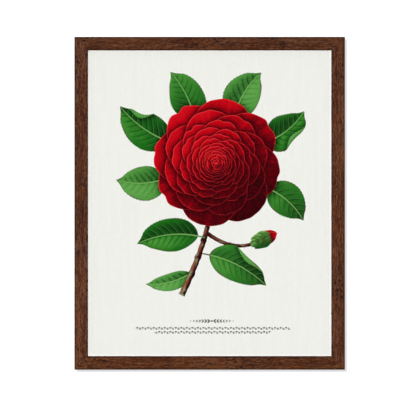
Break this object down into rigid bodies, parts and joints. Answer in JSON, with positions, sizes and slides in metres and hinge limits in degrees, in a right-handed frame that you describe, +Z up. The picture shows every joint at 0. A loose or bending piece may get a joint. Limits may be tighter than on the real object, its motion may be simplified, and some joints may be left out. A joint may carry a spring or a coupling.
{
  "type": "framed print",
  "caption": "Framed botanical print: mitred walnut frame, clear glass, coloured flower print on off-white paper, back held by swivelling turn buttons, sawtooth hanger.",
  "frame": {"origin": "middle notch of the sawtooth hanger on the back of the top rail, where the frame hangs on its hook", "axes": "+X right as the print is read, +Z up, +Y towards the wall, so the print faces -Y"},
  "size_m": [0.4404, 0.0175, 0.542],
  "materials": {
    "walnut": "stained, satin",
    "picture_glass": "clear",
    "paper": "matt, printed",
    "filler": "matt",
    "fibreboard": "raw fibreboard",
    "zinc_plate": "zinc plated",
    "screw_steel": "zinc plated",
    "hanger_brass": "brass plated",
    "bumper_rubber": "matt",
    "wedge_steel": "blackened"
  },
  "bodies": {
    "frame": {"rail_top": "walnut", "rail_bottom": "walnut", "rail_left": "walnut", "rail_right": "walnut", "glazing": "picture_glass", "print_sheet": "paper", "filler_board": "filler", "backing_board": "fibreboard", "button_screw_top_left": "screw_steel", "button_screw_top_right": "screw_steel", "button_screw_right_upper": "screw_steel", "button_screw_right_lower": "screw_steel", "button_screw_bottom_right": "screw_steel", "button_screw_bottom_left": "screw_steel", "button_screw_left_lower": "screw_steel", "button_screw_left_upper": "screw_steel", "sawtooth_hanger": "hanger_brass", "hanger_nail_left": "hanger_brass", "hanger_nail_right": "hanger_brass", "wall_bumper_left": "bumper_rubber", "wall_bumper_right": "bumper_rubber", "corner_wedge_top_right": "wedge_steel", "corner_wedge_bottom_right": "wedge_steel", "corner_wedge_bottom_left": "wedge_steel", "corner_wedge_top_left": "wedge_steel"},
    "button_top_left": {"turn_button_top_left": "zinc_plate"},
    "button_top_right": {"turn_button_top_right": "zinc_plate"},
    "button_right_upper": {"turn_button_right_upper": "zinc_plate"},
    "button_right_lower": {"turn_button_right_lower": "zinc_plate"},
    "button_bottom_right": {"turn_button_bottom_right": "zinc_plate"},
    "button_bottom_left": {"turn_button_bottom_left": "zinc_plate"},
    "button_left_lower": {"turn_button_left_lower": "zinc_plate"},
    "button_left_upper": {"turn_button_left_upper": "zinc_plate"}
  },
  "joints": [
    {"name": "swivel_top_left", "type": "hinge", "parent": "frame", "child": "button_top_left", "pos_m": [-0.11, -0.0021, 0.003], "axis": [0, 1, 0], "continuous": true},
    {"name": "swivel_top_right", "type": "hinge", "parent": "frame", "child": "button_top_right", "pos_m": [0.11, -0.0021, 0.003], "axis": [0, 1, 0], "continuous": true},
    {"name": "swivel_right_upper", "type": "hinge", "parent": "frame", "child": "button_right_upper", "pos_m": [0.2122, -0.0021, -0.12], "axis": [0, 1, 0], "continuous": true},
    {"name": "swivel_right_lower", "type": "hinge", "parent": "frame", "child": "button_right_lower", "pos_m": [0.2122, -0.0021, -0.4], "axis": [0, 1, 0], "continuous": true},
    {"name": "swivel_bottom_right", "type": "hinge", "parent": "frame", "child": "button_bottom_right", "pos_m": [0.11, -0.0021, -0.523], "axis": [0, 1, 0], "continuous": true},
    {"name": "swivel_bottom_left", "type": "hinge", "parent": "frame", "child": "button_bottom_left", "pos_m": [-0.11, -0.0021, -0.523], "axis": [0, 1, 0], "continuous": true},
    {"name": "swivel_left_lower", "type": "hinge", "parent": "frame", "child": "button_left_lower", "pos_m": [-0.2122, -0.0021, -0.4], "axis": [0, 1, 0], "continuous": true},
    {"name": "swivel_left_upper", "type": "hinge", "parent": "frame", "child": "button_left_upper", "pos_m": [-0.2122, -0.0021, -0.12], "axis": [0, 1, 0], "continuous": true}
  ]
}
